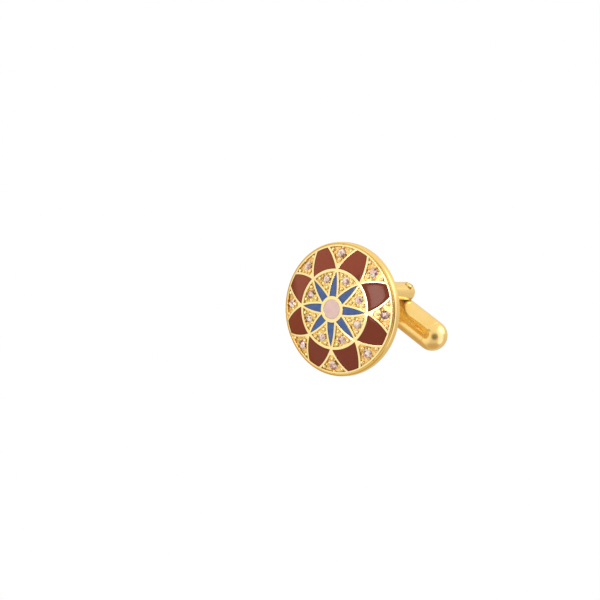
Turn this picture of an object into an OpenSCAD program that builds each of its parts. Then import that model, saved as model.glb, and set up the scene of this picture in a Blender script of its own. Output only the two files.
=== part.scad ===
// Round cufflink with a domed, enamelled and stone-set face on a forked post with a swivel bar.
// The origin is the middle of the flat enamel in the centre of the face. The face looks along -Y,
// the post runs along +Y, the swivel bar lies along X at rest and its hinge pin stands along Z.
// Sizes are in millimetres.

/* [Head] */
// Diameter of the head over its rim
head_d = 18; // [16:0.5:22]
// Radius of the sphere that the face is domed to
dome_r = 24.4; // [20:0.2:36]
// Height of the rim's side, from its front shoulder to its back
rim_h = 1.45; // [1.3:0.05:2.4]
// Radius of the rim's front shoulder
shoulder_r = 0.4; // [0.3:0.05:0.55]
// Radius of the rim's back edge
back_round_r = 0.45; // [0.3:0.05:0.6]
// Depth of the recess in the back of the head
recess_depth = 0.65; // [0.4:0.05:0.75]
// Width of the lip round the recess
lip_w = 0.95; // [0.8:0.05:1.4]
// Distance from the head's edge to the edge of the patterned face
face_inset = 0.28; // [0.22:0.02:0.4]
// Depth of the groove between the patterned face and the rim
groove_depth = 0.14; // [0.06:0.02:0.2]

/* [Pattern] */
// Turn of the pattern about the post
pattern_turn = 17.1; // [0:0.1:44]
// Diameter of the round enamel in the middle
centre_d = 2.62; // [2:0.05:3]
// Width of the gold ring round the middle enamel
centre_ring_w = 0.47; // [0.3:0.05:0.6]
// Width of the gold ring at the star's points
star_ring_w = 0.4; // [0.3:0.05:0.6]
// Width of a star petal's enamel at its base
petal_w = 1.08; // [0.8:0.04:1.2]
// Outward bulge of a star petal's side
petal_bulge = 0.14; // [0.06:0.02:0.2]
// Outward bulge of a large cell's side
cell_bulge = 0.22; // [0.1:0.02:0.34]
// Width of the gold wall round each stone cell
wall_w = 0.3; // [0.2:0.02:0.4]
// Width of the gold band outside the cells
border_w = 0.3; // [0.2:0.02:0.4]
// Depth of the enamelled cells below the face
cell_depth = 0.4; // [0.3:0.02:0.5]
// Depth of the enamel's surface below the gold walls
enamel_drop = 0.05; // [0.02:0.01:0.1]

/* [Stones] */
// Diameter of the stones inside the star ring
inner_stone_d = 1.16; // [1:0.04:1.24]
// Diameter of the stones outside the star ring
outer_stone_d = 1.24; // [1:0.04:1.36]
// Depth of the stone cells' floor below the face
stone_cell_depth = 0.2; // [0.14:0.02:0.26]
// Diameter of the gold beads beside the stones
bead_d = 0.42; // [0.34:0.02:0.46]
// Diameter of the hole behind each stone
azure_d = 0.36; // [0.24:0.02:0.44]

/* [Fork post] */
// Distance from the middle of the face to the hinge pin
hinge_at = 16; // [14.5:0.1:20]
// Diameter of the rod that the fork is bent from
arm_d = 2.8; // [2.4:0.1:3.2]
// Thickness of an arm from its flat inner face to its crown
arm_t = 1.85; // [1.5:0.05:2]
// Thickness of the web between the slot and the recess floor
web_t = 0.9; // [0.7:0.05:1.3]
// Height of the step at the bottom of the slot
slot_step = 0.5; // [0.2:0.05:0.8]
// Diameter of the hinge pin
pin_d = 1.1; // [0.8:0.05:1.3]
// Depth of each pin end below the crown of its arm
pin_recess = 0.2; // [0.1:0.05:0.45]
// Reach of the solder beyond the foot
solder_w = 0.35; // [0.2:0.05:0.45]
// Height of the solder on the recess floor
solder_h = 0.28; // [0.15:0.02:0.4]

/* [Swivel bar] */
// Diameter of the swivel bar
bar_d = 4.3; // [3.8:0.1:4.8]
// Length of the swivel bar over its domed ends
bar_l = 18.3; // [16:0.1:19.5]
// Wall of the swivel bar's tube
bar_wall = 0.7; // [0.55:0.05:0.85]
// Distance from the start of the bar's domed end to the seam of its cap
seam_at = 0.5; // [0.2:0.05:0.8]
// Gap between the swivel bar and each arm
side_gap = 0.05; // [0.03:0.01:0.09]
// Radial clearance of the hinge pin in the swivel bar
pin_gap = 0.03; // [0.02:0.01:0.08]
// Radial clearance of the friction plug and the cap's spigot in the tube
slide_gap = 0.04; // [0.02:0.01:0.08]
// Length of the end cap's spigot
spigot_l = 1.2; // [0.8:0.1:1.6]
// Length of the friction plug
plug_l = 2.2; // [1.8:0.1:2.6]
// Diameter of the spring's wire
wire_d = 0.4; // [0.3:0.02:0.5]
// Number of turns of the spring
spring_turns = 5; // [4:1:6]

/* [Hidden] */
$fn = 96;
petals = 8;
step_deg = 360 / petals;
// Radial places on the face, as shares of its radius
star_share = 0.576;
inner_stone_share = 0.489;
outer_stone_share = 0.874;
// Half angle of a large cell at the star ring and at the border, as shares of its step
cell_root_share = 0.451;
cell_tip_share = 0.131;
// Angle of a bead beside a stone's middle line, as shares of the step
inner_bead_share = 0.25;
outer_bead_share = 0.23;
// Blunt inner end of a stone cell outside the ring, as a share of the face's radius
apex_share = 0.708;
// Places of the beads, as shares of the face's radius
inner_bead_in_share = 0.352;
inner_bead_out_share = 0.541;
outer_bead_in_share = 0.768;
outer_bead_out_share = 0.926;
// Width of the groove as a share of the face's inset, and the lip's inner rounding as one of its width
groove_share = 0.35;
lip_edge_share = 0.2;
// Heights of a stone's crown and pavilion, and radius of its table, as shares of its radius
crown_share = 0.3;
pavilion_share = 0.8;
girdle_share = 0.06;
table_share = 0.56;
// Height of a stone's girdle and of a bead's middle above their cell's floor, as shares of its depth
girdle_at_share = 0.3;
bead_at_share = 0.45;
// Direction in which the solder ran out beside the foot
flow_turn = 240;
// Near edge of that solder as a share of the collar's reach, its far edge as one of the recess's radius
// and its height as one of the collar's
flow_near_share = 0.75;
flow_far_share = 0.909;
flow_h_share = 0.45;
// Reach of the friction plug's saddle towards the pin's axis, as a share of the pin's radius
saddle_share = 0.35;
overrun = 1;

head_r = head_d / 2;
face_r = head_r - face_inset;
centre_r = centre_d / 2;
hub_r = centre_r + centre_ring_w;
star_r = face_r * star_share;
ring_r = star_r + star_ring_w;
border_r = face_r - border_w;
inner_stone_at = face_r * inner_stone_share;
outer_stone_at = face_r * outer_stone_share;
apex_r = face_r * apex_share;

// Depths are measured behind the middle enamel's flat surface, which is flush with the ring round it
dome_z = sqrt(pow(dome_r, 2) - pow(centre_r, 2));
function face_z(r) = dome_z - sqrt(pow(dome_r, 2) - pow(r, 2));
edge_z = face_z(face_r);
rim_z = edge_z + rim_h;
floor_z = rim_z - recess_depth;
recess_r = head_r - lip_w;

bar_r = bar_d / 2;
bar_half = bar_l / 2 - bar_r;
tube_r = bar_r - bar_wall;
slot_half = bar_r + side_gap;
arm_r = arm_d / 2;
arm_at = slot_half + arm_t - arm_r;
pin_r = pin_d / 2;
pin_l = 2 * (slot_half + arm_t - pin_recess);
bend_z = floor_z + web_t + arm_at - arm_r;
slot_z = floor_z + web_t + slot_step;
foot_half = sqrt(pow(arm_at + arm_r, 2) - pow(bend_z - floor_z, 2));

function polar(r, a) = [r * cos(a), r * sin(a)];
function arc(at, r, from, to, n = 8) =
    [for (i = [0:n]) at + polar(r, from + (to - from) * i / n)];
// Radius and centre of the circle through a and b that bulges by h to the left of the way from a to b
function bulge_r(a, b, h) = pow(norm(b - a), 2) / (8 * h) + h / 2;
function bulge_at(a, b, h) =
    (a + b) / 2 + [b[1] - a[1], a[0] - b[0]] / norm(b - a) * (bulge_r(a, b, h) - h);

// Turns a shape whose depth runs along +Z into the part's frame, where it runs along +Y
module in_frame() {
    rotate([-90, 0, 0]) children();
}

// Puts a shape on the dome at radius r and angle a, with its +Z pointing into the head
module on_dome(r, a) {
    translate([0, 0, dome_z]) rotate([0, 0, a]) rotate([0, -asin(r / dome_r), 0])
        translate([0, 0, -dome_r]) children();
}

// Everything that lies deeper than a given depth below the domed face
module dome(depth) {
    translate([0, 0, dome_z]) sphere(r = dome_r - depth, $fn = 200);
}

// Lens between two equal arcs that mirror each other, each running from the root to the tip
module lens(root, tip, h, grow) {
    r = bulge_r(root, tip, h);
    at = bulge_at(root, tip, h);
    intersection() {
        translate(at) circle(r = r + grow);
        translate([at[0], -at[1]]) circle(r = r + grow);
    }
}

petal_root = [sqrt(pow(hub_r, 2) - pow(petal_w / 2, 2)), petal_w / 2];
petal_tip = [star_r, 0];
cell_root = polar(ring_r, step_deg * cell_root_share);
cell_tip = polar(border_r, step_deg * cell_tip_share);

module petal_2d() {
    difference() {
        lens(petal_root, petal_tip, petal_bulge, 0);
        circle(r = hub_r);
        translate([-head_r, -head_r]) square([head_r, head_d]);
    }
}

module cell_2d() {
    difference() {
        intersection() {
            lens(cell_root, cell_tip, cell_bulge, 0);
            circle(r = border_r);
        }
        circle(r = ring_r);
    }
}

// The eight stone cells between the petals
module inner_stone_cells_2d() {
    difference() {
        circle(r = star_r);
        circle(r = hub_r);
        for (k = [1:petals])
            rotate(petal_angle(k)) lens(petal_root, petal_tip, petal_bulge, wall_w);
    }
}

// The eight stone cells between the large cells
module outer_stone_cells_2d() {
    difference() {
        circle(r = border_r);
        circle(r = apex_r);
        for (k = [1:petals])
            rotate(cell_angle(k)) lens(cell_root, cell_tip, cell_bulge, wall_w);
    }
}

function petal_angle(k) = pattern_turn + step_deg * k;
function cell_angle(k) = petal_angle(k) + step_deg / 2;

// The stretch of a prism between the face, or a surface just below it, and the cell's floor
module sunk(floor_depth, top_depth) {
    difference() {
        intersection() {
            translate([0, 0, -overrun]) linear_extrude(rim_z + overrun) children();
            dome(top_depth);
        }
        dome(floor_depth);
    }
}

module enamel(angle) {
    in_frame() sunk(cell_depth, enamel_drop) rotate(angle) children();
}

// Solid head without its cells: dome, groove, shoulder, side, back edge and recess
module blank() {
    groove_r = face_r + face_inset * groove_share;
    lip_edge = lip_w * lip_edge_share;
    shoulder_at = [head_r - shoulder_r, edge_z + shoulder_r];
    start = -acos((groove_r - shoulder_at[0]) / shoulder_r);
    intersection() {
        rotate_extrude() polygon(concat(
            [[0, -overrun], [face_r, -overrun], [face_r, edge_z + groove_depth],
             [groove_r, edge_z + groove_depth]],
            arc(shoulder_at, shoulder_r, start, 0),
            arc([head_r - back_round_r, rim_z - back_round_r], back_round_r, 0, 90),
            arc([recess_r + lip_edge, rim_z - lip_edge], lip_edge, 90, 180, 4),
            [[recess_r, floor_z], [0, floor_z]]));
        dome(0);
    }
}

// Seat of a stone: a straight bore down to the girdle, a cone and the hole through to the back
module stone_seat(d) {
    girdle_z = stone_cell_depth * (1 - girdle_at_share);
    seat_z = girdle_z + d / 2 * girdle_share;
    tip_z = seat_z + d / 2 * pavilion_share;
    translate([0, 0, -overrun]) cylinder(r = d / 2, h = seat_z + overrun);
    translate([0, 0, seat_z]) cylinder(r1 = d / 2, r2 = azure_d / 2, h = tip_z - seat_z);
    translate([0, 0, seat_z]) cylinder(r = azure_d / 2, h = rim_z + overrun);
}

module beads(in_r, out_r, spread) {
    for (place = [[in_r, 0], [out_r, spread], [out_r, -spread]])
        on_dome(place[0], place[1])
            translate([0, 0, stone_cell_depth * (1 - bead_at_share)]) sphere(r = bead_d / 2, $fn = 32);
}

module face_casting() {
    color("goldenrod") in_frame() {
        difference() {
            blank();
            translate([0, 0, -overrun]) cylinder(r = centre_r, h = cell_depth + overrun);
            sunk(cell_depth, -overrun) for (k = [1:petals]) {
                rotate(petal_angle(k)) petal_2d();
                rotate(cell_angle(k)) cell_2d();
            }
            sunk(stone_cell_depth, -overrun) {
                inner_stone_cells_2d();
                outer_stone_cells_2d();
            }
            for (k = [1:petals]) {
                on_dome(inner_stone_at, cell_angle(k)) stone_seat(inner_stone_d);
                on_dome(outer_stone_at, petal_angle(k)) stone_seat(outer_stone_d);
            }
        }
        for (k = [1:petals]) {
            rotate(cell_angle(k)) beads(face_r * inner_bead_in_share, face_r * inner_bead_out_share,
                step_deg * inner_bead_share);
            rotate(petal_angle(k)) beads(face_r * outer_bead_in_share, face_r * outer_bead_out_share,
                step_deg * outer_bead_share);
        }
    }
}

module centre_enamel() {
    color("mistyrose") in_frame() cylinder(r = centre_r, h = cell_depth);
}

module blue_enamel(k) {
    color("royalblue") enamel(petal_angle(k)) petal_2d();
}

module red_enamel(k) {
    color("sienna") enamel(cell_angle(k)) cell_2d();
}

// Round brilliant with its girdle's top at z = 0 and its table towards -Z
module brilliant(d) {
    r = d / 2;
    ring = 8;
    half_step = 360 / ring / 2;
    function rim(n, at_r, at_z, turn) = [for (i = [0:n - 1])
        [at_r * cos(turn + 360 * i / n), at_r * sin(turn + 360 * i / n), at_z]];
    table_z = -r * crown_share;
    girdle_h = r * girdle_share;
    keel_z = girdle_h + r * pavilion_share;
    upper_share = 0.78;
    lower_share = 0.4;
    points = concat(
        rim(ring, r * table_share, table_z, 0),
        rim(ring, r * upper_share, table_z / 2, half_step),
        rim(2 * ring, r, 0, 0),
        rim(2 * ring, r, girdle_h, 0),
        rim(ring, r * lower_share, girdle_h + (keel_z - girdle_h) * (1 - lower_share), half_step),
        [[0, 0, keel_z]]);
    a = ring;
    b = 2 * ring;
    c = 4 * ring;
    e = 6 * ring;
    tip = 7 * ring;
    faces = concat(
        [[for (i = [0:ring - 1]) i]],
        [for (i = [0:ring - 1]) let (j = (i + 1) % ring) [i, a + i, j]],
        [for (i = [0:ring - 1]) [i, b + 2 * i, a + i]],
        [for (i = [0:ring - 1]) let (p = (i + ring - 1) % ring) [i, a + p, b + 2 * i]],
        [for (i = [0:ring - 1]) [a + i, b + 2 * i, b + 2 * i + 1]],
        [for (i = [0:ring - 1]) [a + i, b + 2 * i + 1, b + (2 * i + 2) % (2 * ring)]],
        [for (i = [0:2 * ring - 1]) let (j = (i + 1) % (2 * ring)) [b + i, c + i, c + j]],
        [for (i = [0:2 * ring - 1]) let (j = (i + 1) % (2 * ring)) [b + i, c + j, b + j]],
        [for (i = [0:ring - 1]) [e + i, c + 2 * i + 1, c + 2 * i]],
        [for (i = [0:ring - 1]) [e + i, c + (2 * i + 2) % (2 * ring), c + 2 * i + 1]],
        [for (i = [0:ring - 1]) let (j = (i + 1) % ring) [e + i, tip, e + j]],
        [for (i = [0:ring - 1]) let (j = (i + 1) % ring) [e + i, e + j, c + (2 * i + 2) % (2 * ring)]]);
    polyhedron(points = points, faces = faces);
}

module stone(at_r, angle, d) {
    color("pink") in_frame() on_dome(at_r, angle)
        translate([0, 0, stone_cell_depth * (1 - girdle_at_share)]) brilliant(d);
}

module inner_stone(k) {
    stone(inner_stone_at, cell_angle(k), inner_stone_d);
}

module outer_stone(k) {
    stone(outer_stone_at, petal_angle(k), outer_stone_d);
}

// Rod bent to a U round the slot's bottom, with ball ends at the hinge pin
module bent_rod() {
    translate([0, 0, bend_z]) rotate([-90, 0, 90])
        rotate_extrude(angle = 180) translate([arm_at, 0]) circle(r = arm_r);
    for (side = [-1, 1]) translate([0, side * arm_at, 0]) {
        translate([0, 0, bend_z]) cylinder(r = arm_r, h = hinge_at - bend_z);
        translate([0, 0, hinge_at]) sphere(r = arm_r);
    }
}

module fork_post() {
    color("goldenrod") in_frame() difference() {
        bent_rod();
        translate([-head_r, -head_r, floor_z - head_d]) cube([head_d, head_d, head_d]);
        translate([-arm_d, -slot_half, slot_z]) cube([2 * arm_d, 2 * slot_half, hinge_at]);
        translate([0, 0, hinge_at]) rotate([90, 0, 0]) cylinder(r = pin_r, h = head_d, center = true);
    }
}

module hinge_pin() {
    color("gold") in_frame() translate([0, 0, hinge_at]) rotate([90, 0, 0])
        cylinder(r = pin_r, h = pin_l, center = true);
}

// Collar of solder round the foot, with the flow that ran out beside it
module post_solder() {
    collar_r = arm_r + solder_w;
    flow_near = (foot_half + solder_w) * flow_near_share;
    flow_far = recess_r * flow_far_share;
    flow_r = (flow_far - flow_near) / 2;
    color("darkgoldenrod") in_frame() difference() {
        translate([0, 0, floor_z]) {
            for (side = [-1, 1]) translate([0, side * (foot_half + solder_w - collar_r), 0])
                cylinder(r1 = collar_r, r2 = collar_r - solder_h / 2, h = solder_h);
            translate([-collar_r + solder_h / 2, -foot_half - solder_w + collar_r, 0])
                cube([2 * collar_r - solder_h, 2 * (foot_half + solder_w - collar_r), solder_h]);
            translate(polar(flow_near + flow_r, flow_turn))
                cylinder(r1 = flow_r, r2 = flow_r - solder_h / 2, h = solder_h * flow_h_share);
        }
        bent_rod();
    }
}

// Puts a shape at the hinge, with its +Z along the bar
module at_bar() {
    translate([0, 0, hinge_at]) rotate([0, 90, 0]) children();
}

// Width and depth of the groove between the bar's cap and its tube, as a share of the tube's wall
seam_share = 0.2;
seam_w = bar_wall * seam_share;
cap_z = -bar_half - seam_at;
cap_r = sqrt(pow(bar_r, 2) - pow(seam_at, 2));
tube_end = cap_z + seam_w;
plug_end = -pin_r * saddle_share;
spring_from = tube_end + spigot_l;
spring_to = plug_end - plug_l;

module bar_tube() {
    color("gold") in_frame() at_bar() difference() {
        union() {
            cylinder(r = bar_r, h = 2 * bar_half, center = true);
            for (side = [-1, 1]) translate([0, 0, side * bar_half]) sphere(r = bar_r);
        }
        translate([-bar_r, -bar_r, tube_end - bar_d]) cube([bar_d, bar_d, bar_d]);
        translate([0, 0, tube_end - overrun]) cylinder(r = tube_r, h = pin_r + bar_wall - tube_end + overrun);
        rotate([90, 0, 0]) cylinder(r = pin_r + pin_gap, h = head_d, center = true);
    }
}

module bar_cap() {
    color("gold") in_frame() at_bar() {
        difference() {
            translate([0, 0, -bar_half]) sphere(r = bar_r);
            translate([-bar_d, -bar_d, cap_z]) cube([2 * bar_d, 2 * bar_d, 2 * bar_d]);
        }
        translate([0, 0, cap_z]) cylinder(r = cap_r - seam_w, h = seam_w);
        translate([0, 0, cap_z]) cylinder(r = tube_r - slide_gap, h = seam_w + spigot_l);
    }
}

// Plug that the spring presses on the hinge pin, so that the bar stays where it is put
module friction_plug() {
    color("khaki") in_frame() at_bar() difference() {
        translate([0, 0, spring_to]) cylinder(r = tube_r - slide_gap, h = plug_l);
        rotate([90, 0, 0]) cylinder(r = pin_r + pin_gap, h = head_d, center = true);
    }
}

module plug_spring() {
    wire_r = wire_d / 2;
    coil_r = tube_r - 2 * slide_gap - wire_r;
    sides = 6;
    rings_per_turn = 12;
    rings = rings_per_turn * spring_turns;
    from = spring_from + wire_r + slide_gap;
    rise = spring_to - spring_from - wire_d - 2 * slide_gap;
    points = [for (i = [0:rings], s = [0:sides - 1])
        let (turn = 360 * spring_turns * i / rings, r = coil_r + wire_r * cos(360 * s / sides))
            [r * cos(turn), r * sin(turn), from + rise * i / rings + wire_r * sin(360 * s / sides)]];
    sleeve = [for (i = [0:rings - 1], s = [0:sides - 1]) let (t = (s + 1) % sides, a = i * sides)
        each [[a + s, a + sides + s, a + t], [a + t, a + sides + s, a + sides + t]]];
    ends = [[for (s = [0:sides - 1]) s], [for (s = [sides - 1:-1:0]) rings * sides + s]];
    color("silver") in_frame() at_bar() polyhedron(points = points, faces = concat(sleeve, ends));
}

face_casting();
centre_enamel();
for (k = [1:petals]) blue_enamel(k);
for (k = [1:petals]) red_enamel(k);
for (k = [1:petals]) inner_stone(k);
for (k = [1:petals]) outer_stone(k);
post_solder();
fork_post();
hinge_pin();
bar_tube();
bar_cap();
friction_plug();
plug_spring();
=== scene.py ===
import math
import random

import bmesh
import bpy
from mathutils import Matrix, Vector


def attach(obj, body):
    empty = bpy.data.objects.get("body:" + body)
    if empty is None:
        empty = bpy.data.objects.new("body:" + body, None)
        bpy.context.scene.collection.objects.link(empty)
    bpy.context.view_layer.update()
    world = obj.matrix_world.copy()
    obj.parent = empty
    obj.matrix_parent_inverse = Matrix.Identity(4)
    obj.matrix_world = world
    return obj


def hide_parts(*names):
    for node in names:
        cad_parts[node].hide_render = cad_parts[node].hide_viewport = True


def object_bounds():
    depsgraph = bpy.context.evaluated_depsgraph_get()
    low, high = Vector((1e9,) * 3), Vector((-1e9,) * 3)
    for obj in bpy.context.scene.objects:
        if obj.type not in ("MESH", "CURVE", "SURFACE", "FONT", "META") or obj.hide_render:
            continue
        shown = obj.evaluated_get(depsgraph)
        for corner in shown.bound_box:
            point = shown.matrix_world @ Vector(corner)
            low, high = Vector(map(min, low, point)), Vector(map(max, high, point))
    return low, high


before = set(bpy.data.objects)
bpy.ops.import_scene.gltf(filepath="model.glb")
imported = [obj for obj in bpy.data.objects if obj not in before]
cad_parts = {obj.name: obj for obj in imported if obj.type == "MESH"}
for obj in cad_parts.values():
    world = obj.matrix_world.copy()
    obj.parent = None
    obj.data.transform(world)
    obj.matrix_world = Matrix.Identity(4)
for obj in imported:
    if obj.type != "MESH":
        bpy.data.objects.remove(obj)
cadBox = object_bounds()
mm = 0.001
dice = random.Random(7)
print("frame loaded:", len(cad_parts), "nodes")

# Camera and studio

camera = dict(
    place=(94.13, -163.85, 65.95),  # mm, fitted to the photograph
    right=(0.676, 0.591, 0.440),
    up=(-0.552, 0.011, 0.834),
    lens=90.4, sensor=36.0, near=20.0, far=4000.0,  # mm
)


def added(name, data):
    made = bpy.data.objects.new(name, data)
    bpy.context.scene.collection.objects.link(made)
    return made


def placeCamera():
    back = Vector(camera["right"]).cross(Vector(camera["up"])).normalized()
    right = Vector(camera["up"]).cross(back).normalized()
    data = bpy.data.cameras.new("studioCamera")
    data.lens, data.sensor_width = camera["lens"], camera["sensor"]
    data.clip_start, data.clip_end = camera["near"] * mm, camera["far"] * mm
    viewer = added("studioCamera", data)
    turn = Matrix((right, back.cross(right), back)).transposed().to_4x4()
    viewer.matrix_world = Matrix.Translation(Vector(camera["place"]) * mm) @ turn
    bpy.context.scene.camera = viewer


placeCamera()


# Shader wiring

class Wire:
    def __init__(self, finish, socket):
        self.finish, self.socket = finish, socket

    def __add__(self, other):
        return self.finish.maths("ADD", self, other)

    def __radd__(self, other):
        return self.finish.maths("ADD", other, self)

    def __rsub__(self, other):
        return self.finish.maths("SUBTRACT", other, self)

    def __mul__(self, other):
        return self.finish.maths("MULTIPLY", self, other)

    def __truediv__(self, other):
        return self.finish.maths("DIVIDE", self, other)

    def __gt__(self, other):
        return self.finish.maths("GREATER_THAN", self, other)

    def __lt__(self, other):
        return self.finish.maths("LESS_THAN", self, other)


class Finish:
    def __init__(self, tree):
        self.tree = tree
        tree.nodes.clear()

    # Makes a node, sets it up first and then fills its inputs
    def node(self, kind, settings=None, inputs=None, output=0):
        made = self.tree.nodes.new(kind)
        settings = dict(settings or {})
        for n, (at, tint) in enumerate(settings.pop("stops", ())):
            ramp = made.color_ramp.elements
            stop = ramp[n] if n < len(ramp) else ramp.new(at)
            stop.position, stop.color = at, tint
        for key, value in settings.items():
            setattr(made, key, value)
        for key, value in (inputs or {}).items():
            if isinstance(value, Wire):
                self.tree.links.new(value.socket, made.inputs[key])
            else:
                made.inputs[key].default_value = value
        return Wire(self, made.outputs[output]) if made.outputs else None

    def maths(self, operation, *values):
        return self.node("ShaderNodeMath", {"operation": operation}, dict(enumerate(values)))

    def vectors(self, operation, *values, output="Value"):
        return self.node("ShaderNodeVectorMath", {"operation": operation}, dict(enumerate(values)), output)

    # 0 below low, 1 above high and smooth between them
    def rise(self, value, low, high):
        settings = {"interpolation_type": "SMOOTHSTEP"}
        return self.node("ShaderNodeMapRange", settings, {"Value": value, "From Min": low, "From Max": high})

    def mix(self, share, first, second):
        inputs = {"Factor": share, 6: first, 7: second}
        return self.node("ShaderNodeMix", {"data_type": "RGBA"}, inputs, output=2)

    def noise(self, place, size, detail=2.0, roughness=0.5):
        inputs = {"Vector": place, "Scale": 1 / (size * mm), "Detail": detail, "Roughness": roughness}
        return self.node("ShaderNodeTexNoise", {}, inputs)

    def bump(self, height, distance):
        return self.node("ShaderNodeBump", {}, {"Height": height, "Distance": distance * mm})


# Display values from 0 to 255 as linear light
def colour(red, green, blue):
    def linear(v):
        v = v / 255
        return v / 12.92 if v <= 0.04045 else ((v + 0.055) / 1.055) ** 2.4
    return (linear(red), linear(green), linear(blue), 1.0)


studio = dict(
    level=0.74,  # brightness of the white tent as the metal sees it
    panels=[  # direction, angles in degrees where each fades in and is full, and what it adds
        ((-0.3, 0.1, 0.9), 95, 20, 0.26),
        ((0.3, 0.52, 0.80), 28, 6, 1.9),
        ((-0.4, -0.88, -0.25), 66, 34, 0.3),
        ((0.70, -0.64, 0.30), 32, 1, -0.56),
        ((-0.26, -0.81, 0.525), 13, 5, -0.6),
    ],
    strips=[  # directions along each, fade and full angle, what each adds, its tint
        dict(along=[(-0.186, -0.970, 0.157), (-0.138, -0.982, 0.124), (-0.092, -0.990, 0.091),
                    (-0.053, -0.996, 0.046), (-0.015, -0.998, 0.004)],
             outer=5.6, inner=4.9, gain=6.8, tint=(1.0, 0.71, 0.64, 1.0)),
        dict(along=[(0.52, 0.10, 0.85), (0.67, 0.15, 0.73), (0.79, 0.19, 0.58), (0.88, 0.22, 0.42),
                    (0.94, 0.25, 0.22), (0.96, 0.27, 0.02)],
             outer=30, inner=2, gain=0.56, tint=(1.0, 0.84, 0.90, 1.0)),
    ],
    ground=[(-0.42, 0.18, -0.89), (0.6, 0.03, -0.8)],  # where the table throws a dim amber light back
    groundEdge=(42, 14),  # degrees at which it fades in and is full
    groundGain=-0.16, amber=(1.0, 0.64, 0.30, 1.0),
    dim=0.3, full=0.95,  # brightness at which the tent looks warm, and at which it looks clear
    warm=(1.0, 0.75, 0.46, 1.0), clear=(1.0, 0.85, 0.62, 1.0),
    lamp=(1.0, 0.895, 0.738),  # tint of the softboxes
    floorSize=2000.0, floorGap=0.05,  # mm
    softboxes=[  # name, direction, distance and size in mm, radiance
        ("keyLight", (0.1, -0.55, 0.83), 260, 130, 1.5),
    ],
)


# How far into a round patch of light a direction lies, from 0 outside to 1 within
def lobe(tent, way, direction, outer, inner):
    towards = tent.vectors("DOT_PRODUCT", way, Vector(direction).normalized())
    return tent.rise(towards, math.cos(math.radians(outer)), math.cos(math.radians(inner)))


def lightStudio():
    world = bpy.data.worlds.new("studioTent")
    bpy.context.scene.world = world
    world.use_nodes = True
    tent = Finish(world.node_tree)
    way = tent.node("ShaderNodeTexCoord", output="Generated")
    s, light = studio, studio["level"]
    for direction, outer, inner, gain in s["panels"]:
        light = light + lobe(tent, way, direction, outer, inner) * gain
    shares = []
    for strip in s["strips"]:
        share = 0.0
        for direction in strip["along"]:
            share = tent.maths("MAXIMUM", share, lobe(tent, way, direction, strip["outer"], strip["inner"]))
        light = light + share * strip["gain"]
        shares.append(share)
    ground = 0.0
    for direction in s["ground"]:
        ground = tent.maths("MAXIMUM", ground, lobe(tent, way, direction, *s["groundEdge"]))
    light = light + ground * s["groundGain"]
    seen = tent.node("ShaderNodeLightPath", output="Is Camera Ray")
    strength = seen + light * (1 - seen)
    tone = tent.mix(tent.rise(strength, s["dim"], s["full"]), s["warm"], s["clear"])
    tone = tent.mix(ground, tone, s["amber"])
    for strip, share in zip(s["strips"], shares):
        tone = tent.mix(share, tone, strip["tint"])
    tone = tent.mix(seen, tone, (1, 1, 1, 1))
    glow = tent.node("ShaderNodeBackground", {}, {"Color": tone, "Strength": strength})
    tent.node("ShaderNodeOutputWorld", {}, {"Surface": glow})
    for name, direction, away, size, radiance in s["softboxes"]:
        data = bpy.data.lights.new(name, "AREA")
        data.shape, data.size = "DISK", size * mm
        data.energy = radiance * math.pi * math.pi * (size * mm / 2) ** 2  # W, from the disk's area
        data.color = s["lamp"]
        lamp = added(name, data)
        lamp.visible_glossy = False
        place = Vector(direction).normalized() * away * mm
        turn = place.to_track_quat("Z", "Y").to_matrix().to_4x4()
        lamp.matrix_world = Matrix.Translation(place) @ turn
    bpy.context.scene.view_settings.view_transform = "Standard"


def layFloor():
    low = cadBox[0][2] - studio["floorGap"] * mm
    bpy.ops.mesh.primitive_plane_add(size=studio["floorSize"] * mm, location=(0, 0, low))
    floor = bpy.context.object
    floor.name = "studioFloor"
    floor.visible_glossy = False  # the metal mirrors the tent, whose lower half is set above
    bpy.ops.object.transform_apply(location=True, rotation=True, scale=True)
    material = bpy.data.materials.new("whiteAcrylic")
    material.use_nodes = True
    acrylic = Finish(material.node_tree)
    glow = acrylic.node("ShaderNodeEmission", {}, {"Color": (1, 1, 1, 1), "Strength": 1.0})
    acrylic.node("ShaderNodeOutputMaterial", {}, {"Surface": glow})
    floor.data.materials.append(material)


lightStudio()
layFloor()
print("studio ready")


# Finishes

def newFinish(name):
    material = bpy.data.materials.new(name)
    material.use_nodes = True
    finish = Finish(material.node_tree)
    finish.material = material
    finish.place = finish.node("ShaderNodeTexCoord", output="Object")
    return finish


# The shader of a finish, and its other inputs under Blender's own names
def coat(finish, tone, rough, metal, relief=None, glow=None, more=None):
    inputs = {"Base Color": tone, "Roughness": rough, "Metallic": metal, **(more or {})}
    if relief is not None:
        inputs["Normal"] = relief
    if glow is not None:
        inputs["Emission Color"], inputs["Emission Strength"] = glow, 1.0
    shader = finish.node("ShaderNodeBsdfPrincipled", {}, inputs)
    finish.node("ShaderNodeOutputMaterial", {}, {"Surface": shader})
    return finish.material


# How far a place lies along a direction, in mm
def reachAlong(finish, direction):
    return finish.vectors("DOT_PRODUCT", finish.place, direction) / mm


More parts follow.
